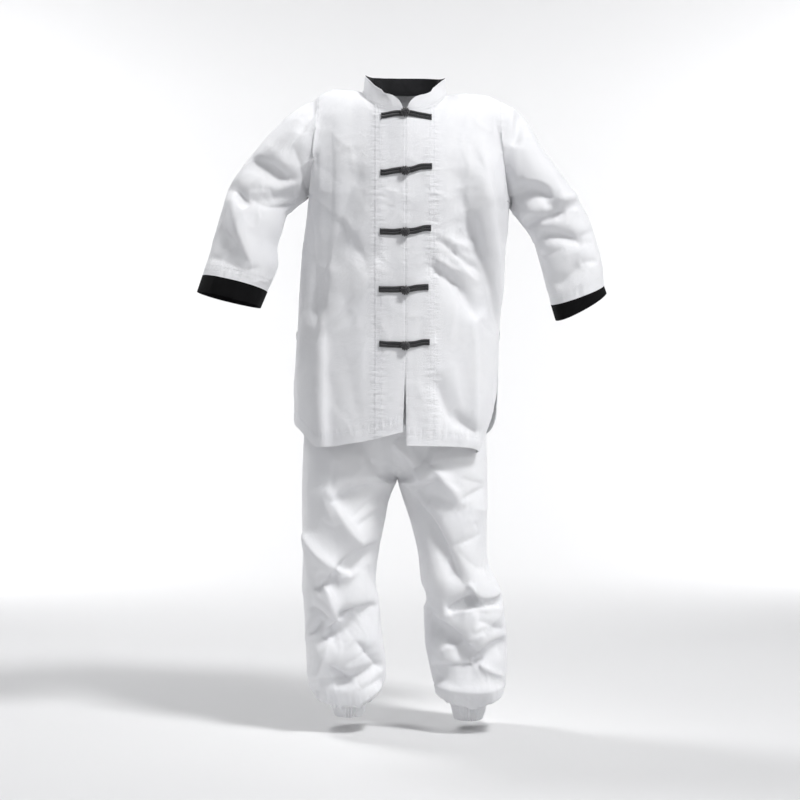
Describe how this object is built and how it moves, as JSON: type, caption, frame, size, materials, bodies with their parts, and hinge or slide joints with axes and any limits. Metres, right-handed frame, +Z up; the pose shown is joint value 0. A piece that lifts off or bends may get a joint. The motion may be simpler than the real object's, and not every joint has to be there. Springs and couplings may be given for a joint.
{
  "type": "tai chi uniform",
  "caption": "White tai chi uniform as worn: stand-collar jacket with black frog fastenings, three-quarter sleeves with black cuffs and side slits, over loose trousers gathered at the ankles.",
  "frame": {"origin": "middle of the neck opening, at the height of the shoulder seams' neck ends", "axes": "+Z up along the wearer, -Y to the wearer's front, +X to the wearer's left"},
  "size_m": [0.826, 0.2756, 1.325],
  "materials": {
    "drill_white": "bleached cotton drill, softly satin",
    "cuff_black": "black cotton drill, matte",
    "cord_black": "black satin cord",
    "lining_charcoal": "charcoal cotton, matte"
  },
  "bodies": {
    "root": {"back": "drill_white", "front_right": "drill_white", "front_left": "drill_white", "band_right": "drill_white", "band_left": "drill_white", "collar": "drill_white", "collar_lining": "lining_charcoal", "sleeve_right": "drill_white", "sleeve_left": "drill_white", "cuff_right": "cuff_black", "cuff_left": "cuff_black", "frog_right_1": "cord_black", "frog_left_1": "cord_black", "frog_knot_1": "cord_black", "frog_right_2": "cord_black", "frog_left_2": "cord_black", "frog_knot_2": "cord_black", "frog_right_3": "cord_black", "frog_left_3": "cord_black", "frog_knot_3": "cord_black", "frog_right_4": "cord_black", "frog_left_4": "cord_black", "frog_knot_4": "cord_black", "frog_right_5": "cord_black", "frog_left_5": "cord_black", "frog_knot_5": "cord_black", "leg_right": "drill_white", "leg_left": "drill_white", "waistband": "drill_white", "ankle_band_right": "drill_white", "ankle_band_left": "drill_white"}
  },
  "joints": []
}
